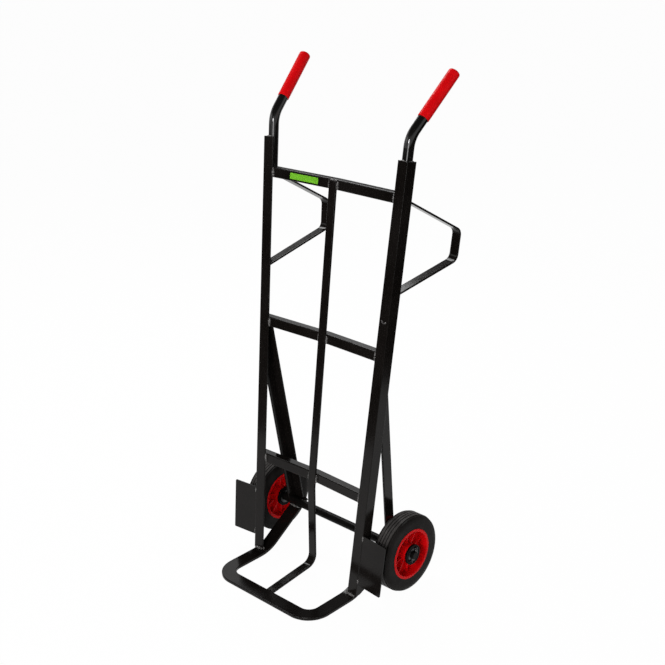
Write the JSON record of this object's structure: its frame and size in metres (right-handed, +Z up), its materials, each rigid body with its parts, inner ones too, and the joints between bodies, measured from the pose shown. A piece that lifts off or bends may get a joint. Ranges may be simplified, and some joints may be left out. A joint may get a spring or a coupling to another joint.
{
  "type": "sack truck",
  "caption": "Upright two-wheeled sack truck with a splayed angle-bar frame, bent flat-bar toe, rear loops, wheel guards, tube handles with red grips and red ribbed wheels.",
  "frame": {"origin": "middle of the truck's bounding box, on the floor", "axes": "+Z up, +Y towards the back where the handles are, +X to the right when seen from the toe's side"},
  "size_m": [0.5304, 0.4942, 1.273],
  "materials": {
    "black_paint": "gloss",
    "red_grip": "gloss",
    "red_plastic": "gloss",
    "tyre_rubber": "matte",
    "black_plastic": "satin",
    "bare_steel": "satin",
    "green_plate": "satin"
  },
  "bodies": {
    "frame": {"axle": "black_paint", "centre_bar": "black_paint", "label_plate": "green_plate", "left_grip": "red_grip", "left_handle_tube": "black_paint", "left_rear_loop": "black_paint", "left_strut": "black_paint", "left_upright": "black_paint", "left_wheel_guard": "black_paint", "lower_crossbar": "black_paint", "middle_crossbar": "black_paint", "right_grip": "red_grip", "right_handle_tube": "black_paint", "right_rear_loop": "black_paint", "right_strut": "black_paint", "right_upright": "black_paint", "right_wheel_guard": "black_paint", "split_pins": "bare_steel", "toe_frame": "black_paint", "top_crossbar": "black_paint", "washers": "bare_steel"},
    "left_wheel": {"left_tyre": "tyre_rubber", "left_wheel_centre": "red_plastic", "left_inner_bush": "black_plastic", "left_outer_bush": "black_plastic"},
    "right_wheel": {"right_tyre": "tyre_rubber", "right_wheel_centre": "red_plastic", "right_inner_bush": "black_plastic", "right_outer_bush": "black_plastic"}
  },
  "joints": [
    {"name": "left_wheel_spin", "type": "hinge", "parent": "frame", "child": "left_wheel", "pos_m": [-0.226, 0.04364, 0.1], "axis": [1, 0, 0], "continuous": true},
    {"name": "right_wheel_spin", "type": "hinge", "parent": "frame", "child": "right_wheel", "pos_m": [0.226, 0.04364, 0.1], "axis": [1, 0, 0], "continuous": true}
  ]
}
